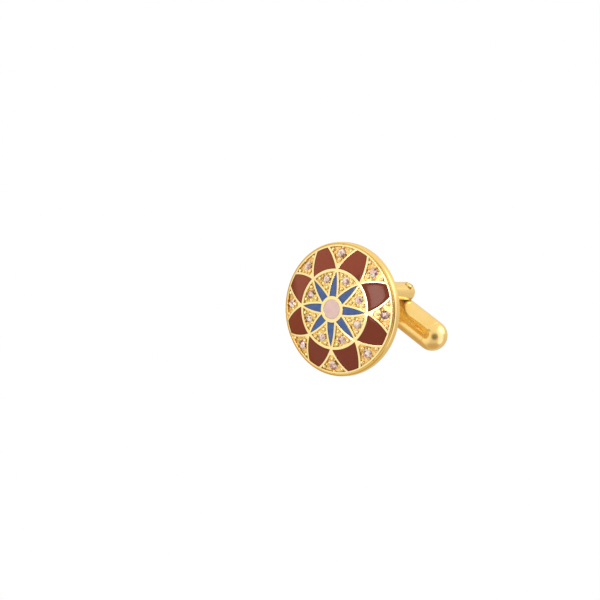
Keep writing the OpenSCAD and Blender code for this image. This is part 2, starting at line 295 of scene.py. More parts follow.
polish = dict(
    # corner is the tone of painted shade, in the creases and where the fork faces the bar
    gold=colour(252, 231, 168), warm=colour(250, 224, 152), corner=colour(186, 142, 66),
    patch=2.6, patchEdge=(0.35, 0.7),  # slow change in tone: mm, and the noise it comes between
    haze=0.35, hazeDetail=4.0,  # left by buffing: mm
    rough=0.08, roughMore=0.1, metal=0.9,
    wave=0.006, waveHaze=0.15,  # height of the hand-buffed waves in mm, and the haze's share in them
    milled=0.22,  # how much rougher the slot is
    milledEdge=(0.02, 0.14), milledGap=0.1,  # mm past the slot's side and short of the bar, where that ends
    shaded=0.85,  # how dark painted shade makes the fork where it faces the bar closely
    shadedEdge=(-0.04, 0.15, 0.5),  # mm from the slot's side: start, last full place and end
    shadedRise=1.2,  # mm before the bar, over which it comes
)


def polishedGold():
    finish = newFinish("polishedGold")
    p = polish
    slow = finish.noise(finish.place, p["patch"])
    haze = finish.noise(finish.place, p["haze"], p["hazeDetail"])
    tone = finish.mix(finish.rise(slow, *p["patchEdge"]), p["gold"], p["warm"])
    # Painted shade in the creases
    tone = finish.mix(paintedCreaseShade(finish), p["corner"], tone)
    height = reachAlong(finish, (0, 1, 0))
    aside = finish.maths("ABSOLUTE", reachAlong(finish, (0, 0, 1)))
    barAt, slot = plan["hingeAt"] - plan["barR"], plan["slotHalf"]
    low, high = p["milledEdge"]
    milled = (1 - finish.rise(aside, slot + low, slot + high)) * (height < barAt - p["milledGap"])
    rough = p["rough"] + haze * p["roughMore"] + milled * p["milled"]
    # Painted shade on the fork where it faces the bar closely
    start, full, end = p["shadedEdge"]
    shaded = (aside > slot + start) * (1 - finish.rise(aside, slot + full, slot + end))
    shaded = shaded * finish.rise(height, barAt - p["shadedRise"], barAt)
    tone = finish.mix(shaded * p["shaded"], tone, p["corner"])
    wave = finish.bump(slow + haze * p["waveHaze"], p["wave"])
    return coat(finish, tone, rough, p["metal"], wave, paintedGapGlow(finish))


# Painted shade darkens the creases to tone, and painted glow lights the narrowest gaps
paintedShadeAndGlow = dict(  # the reaches are in mm
    tone=colour(168, 128, 42), reach=0.2, shut=0.2, open=0.7,
    glow=colour(146, 100, 38), glowReach=0.18, glowShut=0.02, glowOpen=0.3,
)


# How open the surroundings of a place are, from 0 to 1
def openness(finish, reach):
    return finish.node("ShaderNodeAmbientOcclusion", {"samples": 8}, {"Distance": reach * mm}, output="AO")


# 0 in a tight corner and 1 on an open surface, for the painted shade in the creases
def paintedCreaseShade(finish):
    return finish.rise(openness(finish, paintedShadeAndGlow["reach"]), paintedShadeAndGlow["shut"], paintedShadeAndGlow["open"])


# Painted glow in the narrowest gaps, for the light that would still leave them after many reflections
def paintedGapGlow(finish):
    gap = finish.rise(openness(finish, paintedShadeAndGlow["glowReach"]), paintedShadeAndGlow["glowShut"], paintedShadeAndGlow["glowOpen"])
    return finish.mix(gap, paintedShadeAndGlow["glow"], (0, 0, 0, 1))


cast = dict(  # places and sizes in mm
    paintedTopHighlight=colour(255, 248, 202),  # tops of the walls, painted pale as a highlight
    gold=colour(252, 228, 161),
    deep=colour(228, 204, 129), cut=colour(253, 242, 183),  # the cells' floors and the graver strokes on them
    outerDeep=colour(219, 183, 118), outerCut=colour(245, 222, 166),  # the same two in the outer cells
    outerMore=0.3,  # past the inner edge of these cells, where they are full
    satin=colour(249, 219, 144), satinDeep=colour(243, 207, 118), satinEdge=(0.3, 0.7), satinPatch=2.2,
    # groove is painted shade, the flat tone of the rim's groove
    groove=colour(232, 206, 129), grooveEdge=(-0.01, 0.02), grooveDepth=(0.02, 0.1),
    topEdge=(0.03, 0.1),  # below the face, where the painted highlight on the tops ends
    floorEdge=(0.06, 0.22),  # below the face, where the tone deepens
    rimEdge=(0.06, 0.11),  # past the plate's edge, where the rim begins
    backFrom=0.4,  # in front of the recess's floor, where the back begins
    recessEdge=(-0.2, 0.4),  # past the recess's radius, where its satin ends
    stroke=0.3, strokeEdge=(0.42, 0.58),  # graver strokes, and the noise they come between
    rough=0.14, roughMore=0.14, satinRough=0.34,
    grain=0.09, grainDetail=4.0, grainRough=0.6, grainHeight=0.012,  # the cast grain
    grainLeast=0.03, grainFloor=0.42,  # share of it on plain gold, and how much more on the cells' floors
    swell=0.4,
)


# Depth below the domed face, in mm
def depthBelowFace(finish):
    centre = (0.0, plan["domeZ"] * mm, 0.0)
    return plan["domeR"] - finish.vectors("DISTANCE", finish.place, centre) / mm


def castGold():
    finish = newFinish("castGold")
    c, p = cast, plan
    depth = depthBelowFace(finish)
    below = finish.rise(depth, *c["floorEdge"])
    height = reachAlong(finish, (0, 1, 0))
    flat = finish.vectors("MULTIPLY", finish.place, (1, 0, 1), output="Vector")
    radius = finish.vectors("LENGTH", flat) / mm

    def past(start, edge):
        return finish.rise(radius, start + edge[0], start + edge[1])
    behind = height > p["floorZ"] - c["backFrom"]
    recess = behind * (1 - past(p["recessR"], c["recessEdge"]))
    slow = finish.noise(finish.place, c["satinPatch"])
    grain = finish.noise(finish.place, c["grain"], c["grainDetail"], c["grainRough"])
    rim = finish.maths("MAXIMUM", past(p["plateR"], c["rimEdge"]), behind)
    top = (1 - finish.rise(depth, *c["topEdge"])) * (1 - rim)
    floors = below * (1 - rim)
    stroke = finish.rise(finish.noise(finish.place, c["stroke"], 1.0), *c["strokeEdge"])
    inner = finish.mix(stroke, c["deep"], c["cut"])
    outer = finish.mix(stroke, c["outerDeep"], c["outerCut"])
    cell = finish.mix(finish.rise(radius, p["starR"], p["apexR"] + c["outerMore"]), inner, outer)
    front = finish.mix(floors, c["gold"], cell)
    # Painted shade in the creases
    front = finish.mix(paintedCreaseShade(finish), paintedShadeAndGlow["tone"], front)
    # Painted highlight: the tops of the walls are paler
    front = finish.mix(top, front, c["paintedTopHighlight"])
    # Painted shade: a flat deeper tone in the rim's groove
    groove = past(p["plateR"], c["grooveEdge"]) * (radius < p["grooveR"])
    front = finish.mix(groove * finish.rise(depth, *c["grooveDepth"]), front, c["groove"])
    back = finish.mix(finish.rise(slow, *c["satinEdge"]), c["satin"], c["satinDeep"])
    tone = finish.mix(recess, front, back)
    rough = c["rough"] + grain * c["roughMore"] + recess * (c["satinRough"] - c["rough"])
    relief = grain * (floors * c["grainFloor"] + c["grainLeast"]) + slow * c["swell"]
    return coat(finish, tone, rough, 1.0, finish.bump(relief, c["grainHeight"]), paintedGapGlow(finish))


solderLook = dict(
    gold=colour(255, 244, 161), deep=colour(236, 193, 84), toneEdge=(0.38, 0.62),
    grain=0.2, grainDetail=5.0, grainRough=0.65, height=0.05,  # size and height in mm
    patch=0.9, patchShare=0.4,  # size in mm
    rough=0.14, roughMore=0.2,
)


def solderGold():
    finish = newFinish("solderGold")
    s = solderLook
    grain = finish.noise(finish.place, s["grain"], s["grainDetail"], s["grainRough"])
    patch = finish.noise(finish.place, s["patch"])
    blend = grain * (1 - s["patchShare"]) + patch * s["patchShare"]
    tone = finish.mix(finish.rise(blend, *s["toneEdge"]), s["deep"], s["gold"])
    return coat(finish, tone, s["rough"] + grain * s["roughMore"], 1.0, finish.bump(grain, s["height"]))


enamels = dict(
    blue=dict(name="blueEnamel", tone=colour(78, 106, 165), shade=colour(62, 94, 158), cloud=0.7),
    red=dict(name="redEnamel", tone=colour(135, 66, 49), shade=colour(115, 49, 33), cloud=2.2,
             # Painted light makes the red enamel lighter towards the upper left, and painted shade darker
             # towards the lower left
             paintedLitSide=(-0.8, 0, 0.6), paintedShadeSide=(-0.64, 0, -0.77), paintedShadeTone=colour(118, 40, 8)),
    pink=dict(name="pinkEnamel", tone=colour(221, 199, 199), shade=colour(215, 190, 191), cloud=0.9),
    cloudDetail=3.0, cloudEdge=(0.3, 0.7),
    paintedLitEdge=(1.0, 4.6),  # mm along the lit side, over which painted light makes the enamel lighter
    paintedLitCloud=(0.9, 0.8, 0.1),  # the cloud then: its most, its fall along the lit side and the share of the noise
    paintedShadeEdge=(5.0, 6.2),  # mm along the shaded side, where painted shade makes it darker
    level=0.24, ior=1.5, rough=0.05, roughMore=0.05,
    speck=0.06, wave=0.00064,  # mm
)


def enamelFinish(look):
    finish = newFinish(look["name"])
    e = enamels
    cloud = finish.noise(finish.place, look["cloud"], e["cloudDetail"])
    speck = finish.noise(finish.place, e["speck"])
    # Painted light on one side of the red enamel and painted shade on another
    if "paintedLitSide" in look:
        paintedLitSide = finish.rise(reachAlong(finish, look["paintedLitSide"]), *e["paintedLitEdge"])
        most, fall, share = e["paintedLitCloud"]
        cloud = most - paintedLitSide * fall + cloud * share
    tone = finish.mix(finish.rise(cloud, *e["cloudEdge"]), look["tone"], look["shade"])
    if "paintedShadeSide" in look:
        paintedShadeSide = finish.rise(reachAlong(finish, look["paintedShadeSide"]), *e["paintedShadeEdge"])
        tone = finish.mix(paintedShadeSide, tone, look["paintedShadeTone"])
    rough = e["rough"] + cloud * e["roughMore"]
    glass = {"IOR": e["ior"], "Specular IOR Level": e["level"]}
    return coat(finish, tone, rough, 0.0, finish.bump(speck, e["wave"]), more=glass)


stoneLook = dict(
    paintedSparkleSize=0.36,  # mm, size of the painted patches of light and shade, glints and dark facets, that the cut would throw
    stops=[(0.0, colour(96, 68, 74)), (0.28, colour(196, 151, 160)), (0.5, colour(240, 205, 211)),
           (0.72, colour(255, 255, 255))],
    ior=1.9, rough=0.02, roughMore=0.05, through=0.3,
    metal=0.3,  # share of light thrown straight back, as cut facets do
)


def stoneGlass():
    finish = newFinish("pinkStone")
    s = stoneLook
    inputs = {"Vector": finish.place, "Scale": 1 / (s["paintedSparkleSize"] * mm)}
    # Painted sparkle: patches of painted highlight and painted shade, each the size of a facet
    cut = finish.node("ShaderNodeTexVoronoi", {"distance": "MANHATTAN"}, inputs, output="Color")
    patch = finish.node("ShaderNodeSeparateColor", {}, {0: cut})
    tone = finish.node("ShaderNodeValToRGB", {"stops": s["stops"]}, {0: patch})
    glass = {"IOR": s["ior"], "Transmission Weight": s["through"]}
    return coat(finish, tone, s["rough"] + patch * s["roughMore"], s["metal"], more=glass)


insideLook = dict(grain=0.12, detail=4.0, rough=0.3, roughMore=0.15, height=0.004)


def plainMetal(name, tone, shade):
    finish = newFinish(name)
    grain = finish.noise(finish.place, insideLook["grain"], insideLook["detail"])
    rough = insideLook["rough"] + grain * insideLook["roughMore"]
    return coat(finish, finish.mix(grain, tone, shade), rough, 1.0, finish.bump(grain, insideLook["height"]))


# Modelling

def only(piece):
    bpy.ops.object.select_all(action="DESELECT")
    piece.select_set(True)
    bpy.context.view_layer.objects.active = piece


def applied(piece, kind, **settings):
    only(piece)
    modifier = piece.modifiers.new(kind.lower(), kind)
    for key, value in settings.items():
        setattr(modifier, key, value)
    bpy.ops.object.modifier_apply(modifier=modifier.name)


# The part's frame for a place given in the plan of the face, with its depth behind the face
def inFrame(point):
    x, y, depth = point
    return Vector((x, depth, -y)) * mm


# The same for a place given across the bar, round it and along it
def atBar(point):
    across, up, along = point
    return inFrame((along, up, plan["hingeAt"] - across))


# The same for a place given beside the pin's axis, above it and along it
def atPin(point, aside=0.0, above=0.0):
    return inFrame((point[0] + aside, point[2], plan["hingeAt"] + point[1] + above))


# A rod along the pin's axis
def rodCutter(radius, reach, sides):
    return turned("rodCutter", [(0, -reach), (radius, -reach), (radius, reach), (0, reach)], sides, atPin)


# A place in mm where nothing is to be turned
def asDrawn(point):
    return Vector(point) * mm


def editMesh(piece):
    mesh = bmesh.from_edit_mesh(piece.data)
    mesh.verts.ensure_lookup_table()
    return mesh


def setRing(piece, ring, loop, place):
    mesh = editMesh(piece)
    for index, point in zip(ring, loop):
        mesh.verts[index].co = place(point)
    bmesh.update_edit_mesh(piece.data)


def selectRing(piece, ring):
    bpy.ops.mesh.select_all(action="DESELECT")
    mesh, chosen = editMesh(piece), set(ring)
    for index in ring:
        mesh.verts[index].select = True
    for edge in {e for index in ring for e in mesh.verts[index].link_edges}:
        edge.select = all(v.index in chosen for v in edge.verts)
    bmesh.update_edit_mesh(piece.data)


# The selected ring of edges is extruded, and the new ring's vertices come back in the same order
def extrudeRing(piece, ring):
    mesh = editMesh(piece)
    order = {tuple(mesh.verts[index].co): n for n, index in enumerate(ring)}
    bpy.ops.mesh.extrude_edges_move()
    mesh = bmesh.from_edit_mesh(piece.data)
    mesh.verts.index_update()
    fresh = sorted((v for v in mesh.verts if v.select), key=lambda v: order[tuple(v.co)])
    return [v.index for v in fresh]


# Closes a ring with a flat face, or with a pole at a given point
def closeRing(piece, ring, how, place):
    if how is None:
        return
    selectRing(piece, ring)
    if how == "flat":
        bpy.ops.mesh.edge_face_add()
        return
    extrudeRing(piece, ring)
    bpy.ops.mesh.merge(type="CENTER")
    mesh = bmesh.from_edit_mesh(piece.data)
    for vertex in mesh.verts:
        if vertex.select:
            vertex.co = place(how)
    bmesh.update_edit_mesh(piece.data)


# A circle of edges is set on the first loop of points and extruded from loop to loop
def drawOut(name, loops, start=None, end=None, place=inFrame, angle=30):
    bpy.ops.mesh.primitive_circle_add(vertices=len(loops[0]), radius=mm)
    piece = bpy.context.object
    piece.name = piece.data.name = name
    bpy.ops.object.mode_set(mode="EDIT")
    ring = list(range(len(loops[0])))
    setRing(piece, ring, loops[0], place)
    closeRing(piece, ring, start, place)
    for loop in loops[1:]:
        selectRing(piece, ring)
        ring = extrudeRing(piece, ring)
        setRing(piece, ring, loop, place)
    closeRing(piece, ring, end, place)
    return tidied(piece, angle)


def tidied(piece, angle=30, gap=0.0002):
    if piece.mode != "EDIT":
        only(piece)
        bpy.ops.object.mode_set(mode="EDIT")
    bpy.ops.mesh.select_all(action="SELECT")
    bpy.ops.mesh.remove_doubles(threshold=gap * mm)
    bpy.ops.mesh.normals_make_consistent(inside=False)
    if bmesh.from_edit_mesh(piece.data).calc_volume(signed=True) < 0:  # it can err on a very small piece
        bpy.ops.mesh.flip_normals()
    bpy.ops.object.mode_set(mode="OBJECT")
    bpy.ops.object.transform_apply(location=True, rotation=True, scale=True)
    bpy.ops.object.shade_smooth_by_angle(angle=math.radians(angle))
    return piece


def circle(radius, height, sides, at=(0, 0)):
    return [(at[0] + radius * math.cos(2 * math.pi * n / sides),
             at[1] + radius * math.sin(2 * math.pi * n / sides), height) for n in range(sides)]


# A turned shape from (radius, height) pairs, where a radius of zero at either end makes a pole
def turned(name, profile, sides, place=inFrame, angle=30):
    poles = [(0, 0, height) if radius == 0 else None for radius, height in (profile[0], profile[-1])]
    loops = [circle(radius, height, sides) for radius, height in profile if radius > 0]
    return drawOut(name, loops, poles[0], poles[1], place, angle)


def arc(centre, radius, start, stop, count):
    turns = [math.radians(start + (stop - start) * n / count) for n in range(count + 1)]
    return [(centre[0] + radius * math.cos(t), centre[1] + radius * math.sin(t)) for t in turns]


def cutBy(piece, cutter, operation="DIFFERENCE"):
    applied(piece, "BOOLEAN", object=cutter, operation=operation, solver="EXACT")
    bpy.data.objects.remove(cutter, do_unlink=True)
    return piece


def joined(name, pieces):
    bpy.ops.object.select_all(action="DESELECT")
    for piece in pieces:
        piece.select_set(True)
    bpy.context.view_layer.objects.active = pieces[0]
    bpy.ops.object.join()
    pieces[0].name = pieces[0].data.name = name
    return pieces[0]


def copyOf(piece, name):
    twin = piece.copy()
    twin.data = piece.data.copy()
    twin.name = twin.data.name = name
    bpy.context.scene.collection.objects.link(twin)
    return twin


def finished(piece, body, slot, material, *nodes):
    piece.data.materials.clear()
    piece.data.materials.append(material)
    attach(piece, body)
    if nodes:
        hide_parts(*nodes)
    return piece


# Plan of the whole part, all in mm and degrees, as in its source

plan = dict(
    domeR=24.4, domeZ=24.3648, headR=9.0, faceR=8.72, plateR=8.65, borderR=8.42, centreR=1.31, hubR=1.78,
    starR=5.023, ringR=5.423, apexR=6.174, turn=17.1, step=45.0, wall=0.3, petalW=1.08, petalBulge=0.14,
    cellBulge=0.22, cellRoot=0.451, cellTip=0.131, stoneFloor=0.2, grooveDepth=0.14, grooveR=8.818,
    shoulderZ=1.5762, shoulderR=0.4, backR=0.45, rimZ=3.0262, floorZ=2.3762, recessR=8.05, lipTop=8.5,
    lipFoot=7.35, innerAt=4.264, outerAt=7.621, innerStone=1.16, outerStone=1.24, azure=0.18,
    armAt=2.65, armR=1.4, slotHalf=2.2, bendZ=4.526, slotZ=3.776, hingeAt=16.0,
    pinR=0.55, pinHalf=4.0, barR=2.15, barHalf=7.0, tubeR=1.45, capZ=-7.5, capR=2.06, seam=0.2,
)


# Height of the surface that lies a given depth below the domed face
def domed(radius, depth=0.0):
    return plan["domeZ"] - math.sqrt((plan["domeR"] - depth) ** 2 - radius ** 2)


def polar(radius, angle):
    return Vector((radius * math.cos(math.radians(angle)), radius * math.sin(math.radians(angle))))


# Centre and radius of the circle through two points that bulges to the left of the way between them
def bulge(a, b, height):
    radius = (b - a).length_squared / (8 * height) + height / 2
    side = Vector((b.y - a.y, a.x - b.x)).normalized()
    return (a + b) / 2 + side * (radius - height), radius


def mirrored(point):
    return Vector((point.x, -point.y))


def turnedBy(point, angle):
    return Matrix.Rotation(math.radians(angle), 2) @ point


# A cell is bounded by arcs: the centre and radius of each, 1 for a cell inside it or -1 outside it,
# and a point near its corner with the next one
def cellOutline(sides, grow, samples):
    grown = [(centre, radius + grow * way) for centre, radius, way, near in sides]
    corners = []
    for n, (centre, radius) in enumerate(grown):
        other, otherRadius = grown[(n + 1) % len(grown)]
        apart = (other - centre).length
        along = (apart ** 2 + radius ** 2 - otherRadius ** 2) / (2 * apart)
        off = math.sqrt(max(radius ** 2 - along ** 2, 0))
        axis = (other - centre).normalized()
        options = [centre + axis * along + Vector((-axis.y, axis.x)) * off * s for s in (1, -1)]
        corners.append(min(options, key=lambda p: (p - sides[n][3]).length))
    points = []
    for n, (centre, radius) in enumerate(grown):
        start, stop = corners[n - 1] - centre, corners[n] - centre
        first = math.atan2(start.y, start.x)
        sweep = (math.atan2(stop.y, stop.x) - first + math.pi) % (2 * math.pi) - math.pi
        count = samples[n]
        points += [centre + Vector((math.cos(first + sweep * k / count), math.sin(first + sweep * k / count)))
                   * radius for k in range(count)]
    return points


origin = Vector((0, 0))
petalRoot = Vector((math.sqrt(plan["hubR"] ** 2 - (plan["petalW"] / 2) ** 2), plan["petalW"] / 2))
petalTip = Vector((plan["starR"], 0))
cellRoot = polar(plan["ringR"], plan["step"] * plan["cellRoot"])
cellTip = polar(plan["borderR"], plan["step"] * plan["cellTip"])
petalAt, petalArc = bulge(petalRoot, petalTip, plan["petalBulge"])
cellAt, cellArc = bulge(cellRoot, cellTip, plan["cellBulge"])
half = plan["step"] / 2
innerAt = turnedBy(petalAt, -half)
outerAt = turnedBy(cellAt, -half)
cells = dict(
    petal=dict(
        sides=[(petalAt, petalArc, 1, petalTip), (mirrored(petalAt), petalArc, 1, mirrored(petalRoot)),
               (origin, plan["hubR"], -1, petalRoot)],
        samples=(26, 26, 8)),
    cell=dict(
        sides=[(cellAt, cellArc, 1, cellTip), (origin, plan["borderR"], 1, mirrored(cellTip)),
               (mirrored(cellAt), cellArc, 1, mirrored(cellRoot)), (origin, plan["ringR"], -1, cellRoot)],
        samples=(24, 10, 24, 30)),
    inner=dict(
        sides=[(innerAt, petalArc + plan["wall"], -1, polar(plan["starR"], -half + 4)),
               (origin, plan["starR"], 1, polar(plan["starR"], half - 4)),
               (mirrored(innerAt), petalArc + plan["wall"], -1, polar(plan["hubR"] + 0.4, 0))],
        samples=(22, 30, 22)),
    outer=dict(
        sides=[(outerAt, cellArc + plan["wall"], -1, polar(plan["borderR"], -half + 8)),
               (origin, plan["borderR"], 1, polar(plan["borderR"], half - 8)),
               (mirrored(outerAt), cellArc + plan["wall"], -1, polar(plan["apexR"], 4)),
               (origin, plan["apexR"], -1, polar(plan["apexR"], -4))],
        samples=(20, 30, 20, 6)),
)


def outline(kind, grow, angle):
    points = cellOutline(cells[kind]["sides"], grow, cells[kind]["samples"])
    return [turnedBy(point, angle) for point in points]


def petalAngle(k):
    return plan["turn"] + plan["step"] * k


def cellAngle(k):
    return petalAngle(k) + half


# Head: domed body with its groove, rounded rim, back lip and recess, and below each stone a seat

headLook = dict(
    sides=180, smooth=35, frontRings=28, frontStep=0.3, floorRings=10, floorStep=0.7, arcSteps=9, lipSteps=16,
    grooveFoot=(8.5, 8.6, 8.79), grooveTop=(8.812, 1.69), rimFrom=-57, sideZ=2.27,
    seatSides=24, girdleAt=0.7, seatAt=0.06, coneDeep=0.8, coneCut=0.85, seatTop=-0.3, holeTo=3.6, flare=0.07,
    hollowSides=18, hollowSteps=8, hollowR=0.5, hollowOut=0.12, hollowDeep=0.2, hollowTurns=(0, 125, 235),
)


def headProfile():
    p, h = plan, headLook

    def ring(radius):
        return (radius, domed(radius, p["stoneFloor"]))
    front = [ring(n * h["frontStep"]) for n in range(h["frontRings"] + 1)]
    edge, low, high = h["grooveFoot"]
    bottom = p["shoulderZ"] + p["grooveDepth"]
    groove = [ring(edge), (low, bottom), (high, bottom), h["grooveTop"]]
    shoulder = (p["headR"] - p["shoulderR"], p["shoulderZ"] + p["shoulderR"])
    rim = arc(shoulder, p["shoulderR"], h["rimFrom"], 0, h["arcSteps"])
    back = arc((p["headR"] - p["backR"], p["rimZ"] - p["backR"]), p["backR"], 0, 90, h["arcSteps"])
    lip = []
    for n in range(h["lipSteps"] + 1):
        s = n / h["lipSteps"]
        lip.append((p["lipTop"] - (p["lipTop"] - p["lipFoot"]) * s,
                    p["rimZ"] - (p["rimZ"] - p["floorZ"]) * s * s * (3 - 2 * s)))
    floor = [(n * h["floorStep"], p["floorZ"]) for n in range(h["floorRings"], -1, -1)]
    return front + groove + rim + [(p["headR"], h["sideZ"])] + back + lip + floor


# Turns a place on the axis of a seat to its place on the dome
def onDome(radius, angle):
    tilt = math.asin(radius / plan["domeR"])
    turn = Matrix.Rotation(math.radians(angle), 4, "Z") @ Matrix.Rotation(-tilt, 4, "Y")
    centre = Vector((0, 0, plan["domeZ"]))

    def place(point):
        return inFrame(centre + turn @ (Vector(point) - Vector((0, 0, plan["domeR"]))))
    return place


# The girdle's bed, the cone below it and the drilled hole, which is countersunk from behind
def seatCutter(radius, angle, size):
    h, hole, wide = headLook, plan["azure"], size / 2
    seat = plan["stoneFloor"] * h["girdleAt"] + wide * h["seatAt"]
    cone = (seat + wide * h["coneDeep"]) * h["coneCut"]
    out = (plan["floorZ"] - domed(radius)) / math.cos(math.asin(radius / plan["domeR"]))
    flared = hole + 2 * h["flare"]
    profile = [(0, h["seatTop"]), (wide, h["seatTop"]), (wide, seat), (hole, cone),
               (hole, out - h["flare"]), (flared, out + h["flare"]), (flared, h["holeTo"]), (0, h["holeTo"])]
    return turned("seatCutter", profile, h["seatSides"], onDome(radius, angle))


# Angle, radius and size of each stone
def stonePlaces():
    for k in range(1, 9):
        yield cellAngle(k), plan["innerAt"], plan["innerStone"]
        yield petalAngle(k), plan["outerAt"], plan["outerStone"]


# Three hollows round each stone, scooped out between its beads
def hollowPlaces():
    for angle, at, size in stonePlaces():
        for around in headLook["hollowTurns"]:
            centre = polar(at, 0) + polar(size / 2 + headLook["hollowOut"], around)
            yield centre.length, angle + math.degrees(math.atan2(centre.y, centre.x))


def hollowCutter(radius, angle):
    h, size = headLook, headLook["hollowR"]
    profile = arc((0, plan["stoneFloor"] + h["hollowDeep"] - size), size, 90, -90, h["hollowSteps"])
    profile[0], profile[-1] = (0, profile[0][1]), (0, profile[-1][1])
    return turned("hollowCutter", profile, h["hollowSides"], onDome(radius, angle))


def makeHead():
    head = turned("headBody", headProfile(), headLook["sides"])
    seats = [seatCutter(radius, angle, size) for angle, radius, size in stonePlaces()]
    cutBy(head, joined("seatCutters", seats))
    hollows = [hollowCutter(radius, angle) for radius, angle in hollowPlaces()]
    cutBy(head, joined("hollowCutters", hollows))
    tidied(head, headLook["smooth"])
    return finished(head, "head", "cast_gold", gold["cast"], "face_casting")


# Face plate: the walls between the cells, cut out as one sheet with rounded edges and bent on the dome

plateLook = dict(bevel=0.035, bevelSteps=2, thick=0.36, sides=240, hubSides=48, smooth=35, gap=0.002)


def addSpline(curve, points):
    spline = curve.splines.new("POLY")
    spline.points.add(len(points) - 1)
    for target, point in zip(spline.points, points):
        target.co = (point[0] * mm, point[1] * mm, 0, 1)
    spline.use_cyclic_u = True


def makePlate():
    bevel = plateLook["bevel"]
    curve = bpy.data.curves.new("facePlate", "CURVE")
    curve.dimensions, curve.fill_mode = "2D", "BOTH"
    curve.bevel_depth, curve.bevel_resolution = bevel * mm, plateLook["bevelSteps"]
    curve.extrude = (plateLook["thick"] / 2 - bevel) * mm
    addSpline(curve, circle(plan["plateR"] - bevel, 0, plateLook["sides"]))
    addSpline(curve, circle(plan["centreR"] + bevel, 0, plateLook["hubSides"]))
    for k in range(1, 9):
        for kind, angle in (("petal", petalAngle(k)), ("cell", cellAngle(k)), ("inner", cellAngle(k)),
                            ("outer", petalAngle(k))):
            addSpline(curve, outline(kind, bevel, angle))
    only(added("facePlate", curve))
    bpy.ops.object.convert(target="MESH")
    plate = bpy.context.object
    for vertex in plate.data.vertices:
        flat = Vector((vertex.co.x, vertex.co.y)) / mm
        depth = vertex.co.z / mm + plateLook["thick"] / 2
        vertex.co = inFrame((flat.x, flat.y, domed(flat.length, depth)))
    tidied(plate, plateLook["smooth"], plateLook["gap"])
    return finished(plate, "head", "cast_gold", gold["cast"])


# Enamels: each fills its cell and lies a little below the walls

enamelLook = dict(
    gap=0.012,
    steps=[(0, 0.36), (0, 0.13), (0.03, 0.085), (0.09, 0.06), (0.2, 0.048)],  # inset and depth of each ring
    domeShares=(0.8, 0.6, 0.4, 0.2),
    dome=0.046,
    smooth=40,
    centreSides=64,
    centreSteps=[(0, 0.36), (0, 0.07), (0.02, 0.045), (0.06, 0.03)],
    centreShares=(0.85, 0.65, 0.45, 0.25, 0),
    centreEdge=0.03,  # depth of the middle enamel at its edge, and how much its dome rises above that
    centreRise=0.02,
)


def domedLoop(points, depth):
    return [(p[0], p[1], domed(math.hypot(p[0], p[1]), depth)) for p in points]


def makeEnamel(name, node, kind, angle, slot, material):
    loops = [domedLoop(outline(kind, -enamelLook["gap"] - inset, angle), depth)
             for inset, depth in enamelLook["steps"]]
    edge = [Vector(point[:2]) for point in loops[-1]]
    middle = sum(edge, Vector((0, 0))) / len(edge)
    for share in enamelLook["domeShares"]:
        loops.append(domedLoop([middle.lerp(point, share) for point in edge], enamelLook["dome"]))
    pole = domedLoop([middle], enamelLook["dome"])[0]
    piece = drawOut(name, loops, "flat", pole, angle=enamelLook["smooth"])
    return finished(piece, "head", slot, material, node)


def makeCentreEnamel():
    e, wide = enamelLook, plan["centreR"] - enamelLook["gap"]
    profile = [(0, e["centreSteps"][0][1])] + [(wide - inset, depth) for inset, depth in e["centreSteps"]]
    profile += [(wide * s, e["centreEdge"] - e["centreRise"] * (1 - s * s)) for s in e["centreShares"]]
    piece = turned("centreEnamel", profile, e["centreSides"])
    return finished(piece, "head", "pink_enamel", enamel["pink"], "centre_enamel")


# Beads: three raised grains hold each stone; their places are shares of the face's radius and of a step

beadLook = dict(
    size=0.56, sunk=0.15, top=35, flatAt=0.57, steps=6, sides=14, smooth=60,
    inIn=0.352, inOut=0.541, outIn=0.768, outOut=0.926, inSpread=0.25, outSpread=0.23)


def makeBeads():
    b, beadR = beadLook, beadLook["size"] / 2
    profile = arc((0, 0), beadR, -90, b["top"], b["steps"])
    profile[0] = (0, -beadR)
    first = turned("bead", profile + [(0, beadR * b["flatAt"])], b["sides"], asDrawn, b["smooth"])
    places = []
    for k in range(1, 9):
        for angle, near, far, spread in ((cellAngle(k), b["inIn"], b["inOut"], b["inSpread"]),
                                         (petalAngle(k), b["outIn"], b["outOut"], b["outSpread"])):
            for radius, turn in ((near, 0), (far, spread), (far, -spread)):
                places.append(onDome(plan["faceR"] * radius, angle + plan["step"] * turn))
    for n, place in enumerate(places):
        bead = copyOf(first, "bead.%02d" % (n + 1))
        for vertex in bead.data.vertices:
            vertex.co = place(vertex.co / mm + Vector((0, 0, b["sunk"])))
        finished(bead, "head", "cast_gold", gold["cast"])
    bpy.data.objects.remove(first, do_unlink=True)


# Fork: a rod bent to a U, with ball ends, milled for the bar and drilled for the pin

forkLook = dict(
    sides=56, endSteps=12, bendSteps=40, blunt=2.2, endShare=0.84, bevel=0.07, bevelSteps=3, bevelFrom=40,
    smooth=30, gap=0.01, slotWide=3, slotTop=20, footWide=5, footLow=-2, footDeep=0.15,
    boreSides=40, boreGap=0.012, reach=6,
    pitSides=36, pitR=0.6, pitDeep=0.5, pitOff=(-0.36, -0.82),  # the pit that the punch left beside the pin
)


def boxCutter(wide, deep, low, high):
    corners = [(-wide, -deep), (wide, -deep), (wide, deep), (-wide, deep)]
    return drawOut("boxCutter", [[(x, y, z) for x, y in corners] for z in (low, high)], "flat", "flat")


